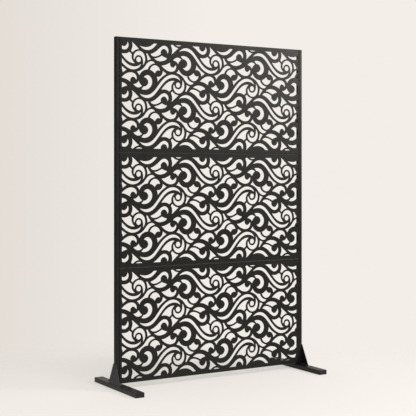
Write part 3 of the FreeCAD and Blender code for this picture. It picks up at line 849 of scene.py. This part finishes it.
@dataclass
class Studio:
    """The plain pale room: floor, backdrop light, lamps and camera."""

    # The camera, with its sensor and lens in millimetres and the view's shift as a share of the frame.
    eye: Point = (-2.993, -4.8725, 1.1348)
    yaw: float = math.radians(31.3)
    sensor: float = 36.0
    lens: float = 90.4
    drop: float = -0.0897
    # The floor, which is solid round its middle and fades out towards its reach.
    floor_middle: Point = (-0.468, -0.769, 0.0)
    floor_solid: float = 1.1
    floor_reach: float = 2.4
    floor_rim_share: float = 0.5
    floor_facets: int = 96
    floor_colour: str = "#ebebea"
    floor_roughness: tuple[float, float] = (0.75, 0.9)
    floor_specular: float = 0.1
    speck_mm: float = 40.0
    speck_detail: float = 4.0
    floor_glow: str = "#f3eee8"
    glow_share: float = 0.45
    # The backdrop. A span holds the cosines at which a change begins and ends, of the angle to the view's
    # right, to straight ahead or to straight up.
    left_backdrop: str = "#e3ddd6"
    right_backdrop: str = "#f3eee8"
    brightening_span: tuple[float, float] = (-0.2, 0.0)
    paper_span: tuple[float, float] = (0.7, 0.97)
    ceiling_span: tuple[float, float] = (0.35, 0.9)
    room_span: tuple[float, float] = (-1.0, 1.0)
    # The light of the room from left to right, of the paper behind the screen and of the ceiling.
    light_colour: str = "#fffbf4"
    room_light: tuple[float, float] = (0.16, 0.42)
    paper_light: float = 0.42
    ceiling_light: float = 0.5
    softboxes: tuple[Softbox, ...] = (
        Softbox("key_softbox", (4.6, -4.0, 3.0), (0.2, 0.0, 0.9), (1.6, 1.6), 185.0),
        Softbox("front_softbox", (-0.8, -4.0, 5.5), (0.0, 0.0, 0.3), (4.0, 3.0), 205.0),
    )

    def camera(self) -> None:
        """Sets the camera at the photograph's viewpoint, level, with the view shifted down."""
        deselect_all()
        bpy.ops.object.camera_add(location=self.eye, rotation=(math.pi / 2, 0, -self.yaw))
        camera = bpy.context.object
        camera.name = "photograph_camera"
        camera.data.sensor_width = self.sensor
        camera.data.lens = self.lens
        camera.data.shift_y = self.drop
        bpy.context.scene.camera = camera

    def floor(self) -> None:
        """Lays the floor, which fades into the backdrop far from the screen and a little way behind it."""
        deselect_all()
        bpy.ops.mesh.primitive_circle_add(
            vertices=self.floor_facets, radius=self.floor_reach, fill_type="NGON",
            location=self.floor_middle)
        floor = bpy.context.object
        floor.name = "studio_floor"
        with editing(floor):
            bpy.ops.mesh.select_all(action="SELECT")
            bpy.ops.mesh.inset(thickness=self.floor_reach * self.floor_rim_share)
        material, tree = empty_material("studio_floor_pale_paint")
        place = add_node(tree, "ShaderNodeTexCoord").outputs["Object"]
        speck = add_node(tree, "ShaderNodeTexNoise", {
            "Vector": place, "Scale": pattern_scale(self.speck_mm), "Detail": self.speck_detail})
        roughness = add_node(tree, "ShaderNodeMapRange", {
            "Value": speck.outputs["Fac"],
            "To Min": self.floor_roughness[0], "To Max": self.floor_roughness[1]})
        paint = add_node(tree, "ShaderNodeBsdfPrincipled", {
            "Base Color": linear(self.floor_colour), "Roughness": roughness.outputs["Result"],
            "Specular IOR Level": self.floor_specular})
        # Part of the paleness is the floor's own, so that it stays pale and its shadows stay light.
        glow = add_node(tree, "ShaderNodeEmission", {"Color": linear(self.floor_glow), "Strength": 1.0})
        share = add_node(tree, "ShaderNodeMath", {
            0: seeing_rays(tree), 1: self.glow_share}, operation="MULTIPLY")
        pale = add_node(tree, "ShaderNodeMixShader", {
            0: share.outputs["Value"], 1: paint.outputs["BSDF"], 2: glow.outputs["Emission"]})
        distance = add_node(tree, "ShaderNodeVectorMath", {0: place}, operation="LENGTH")
        fade = add_node(tree, "ShaderNodeMapRange", {
            "Value": distance.outputs["Value"], "From Min": self.floor_solid,
            "From Max": self.floor_reach}, interpolation_type="SMOOTHSTEP")
        clear = add_node(tree, "ShaderNodeBsdfTransparent")
        mix = add_node(tree, "ShaderNodeMixShader", {
            0: fade.outputs["Result"], 1: pale.outputs["Shader"], 2: clear.outputs["BSDF"]})
        add_node(tree, "ShaderNodeOutputMaterial", {"Surface": mix.outputs["Shader"]})
        floor.data.materials.append(material)

    def backdrop(self) -> None:
        """Lights the room softly and shows a pale backdrop that brightens to the right."""
        world = bpy.data.worlds.new("studio_backdrop")
        bpy.context.scene.world = world
        world.use_nodes = True
        tree = world.node_tree
        tree.nodes.clear()
        way = add_node(tree, "ShaderNodeTexCoord").outputs["Generated"]
        rightwards = (math.cos(self.yaw), -math.sin(self.yaw), 0.0)
        forwards = (math.sin(self.yaw), math.cos(self.yaw), 0.0)
        across = add_node(tree, "ShaderNodeVectorMath", {0: way, 1: rightwards}, operation="DOT_PRODUCT")
        shown = add_node(tree, "ShaderNodeMapRange", {
            "Value": across.outputs["Value"], "From Min": self.brightening_span[0],
            "From Max": self.brightening_span[1]})
        colour = add_node(tree, "ShaderNodeMix", {
            MIX_SHARE: shown.outputs["Result"], MIX_FIRST: linear(self.left_backdrop),
            MIX_SECOND: linear(self.right_backdrop)}, data_type="RGBA")
        seen = add_node(tree, "ShaderNodeBackground", {"Color": colour.outputs[MIXED], "Strength": 1.0})
        # The room round the camera is dim, dimmest on the left, and the paper behind is brighter.
        room = add_node(tree, "ShaderNodeMapRange", {
            "Value": across.outputs["Value"], "From Min": self.room_span[0],
            "From Max": self.room_span[1], "To Min": self.room_light[0], "To Max": self.room_light[1]})
        away = add_node(tree, "ShaderNodeVectorMath", {0: way, 1: forwards}, operation="DOT_PRODUCT")
        behind = add_node(tree, "ShaderNodeMapRange", {
            "Value": away.outputs["Value"], "From Min": self.paper_span[0], "From Max": self.paper_span[1]},
            interpolation_type="SMOOTHSTEP")
        paper = add_node(tree, "ShaderNodeMath", {
            0: behind.outputs["Result"], 1: self.paper_light}, operation="MULTIPLY")
        rise = add_node(tree, "ShaderNodeSeparateXYZ", {0: way})
        ceiling = add_node(tree, "ShaderNodeMapRange", {
            "Value": rise.outputs["Z"], "From Min": self.ceiling_span[0], "From Max": self.ceiling_span[1],
            "To Max": self.ceiling_light}, interpolation_type="SMOOTHSTEP")
        lower = add_node(tree, "ShaderNodeMath", {0: room.outputs["Result"], 1: paper.outputs["Value"]})
        whole = add_node(tree, "ShaderNodeMath", {0: lower.outputs["Value"], 1: ceiling.outputs["Result"]})
        light = add_node(tree, "ShaderNodeBackground", {
            "Color": linear(self.light_colour), "Strength": whole.outputs["Value"]})
        # The backdrop is seen straight on, through clear things, and in reflections where it stands.
        mix = add_node(tree, "ShaderNodeMixShader", {
            0: seeing_rays(tree, behind.outputs["Result"]), 1: light.outputs["Background"],
            2: seen.outputs["Background"]})
        add_node(tree, "ShaderNodeOutputWorld", {"Surface": mix.outputs["Shader"]})

    def hang(self, softbox: Softbox) -> None:
        """Hangs one softbox.

        Args:
            softbox: the lamp.
        """
        way = Vector(softbox.aim) - Vector(softbox.place)
        turn = way.to_track_quat("-Z", "Y").to_euler()
        deselect_all()
        bpy.ops.object.light_add(type="AREA", location=softbox.place, rotation=turn)
        lamp = bpy.context.object
        lamp.name = softbox.name
        lamp.data.shape = "RECTANGLE"
        lamp.data.size = softbox.size[0]
        lamp.data.size_y = softbox.size[1]
        lamp.data.energy = softbox.watts
        lamp.data.color = linear(self.light_colour)[:3]

    def build(self) -> None:
        """Sets up the whole room."""
        bpy.context.scene.view_settings.view_transform = "Standard"
        self.floor()
        self.backdrop()
        for softbox in self.softboxes:
            self.hang(softbox)
        self.camera()


def main() -> None:
    """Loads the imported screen, dresses each sub-assembly and sets up the studio."""
    logging.basicConfig(level=logging.INFO, format="%(message)s")
    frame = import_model()
    finishes = {
        Slot.POWDER_COAT: PowderCoat().material(),
        Slot.PLUG_PLASTIC: MouldedPlastic().material(),
        Slot.ZINC_PLATE: ZincPlate().material(),
    }
    screen = Screen(frame["nodes"], finishes)
    Panels(screen).build()
    for side in Side:
        Stand(screen, side).build()
    Studio().build()
    deselect_all()


if __name__ == "__main__":
    main()
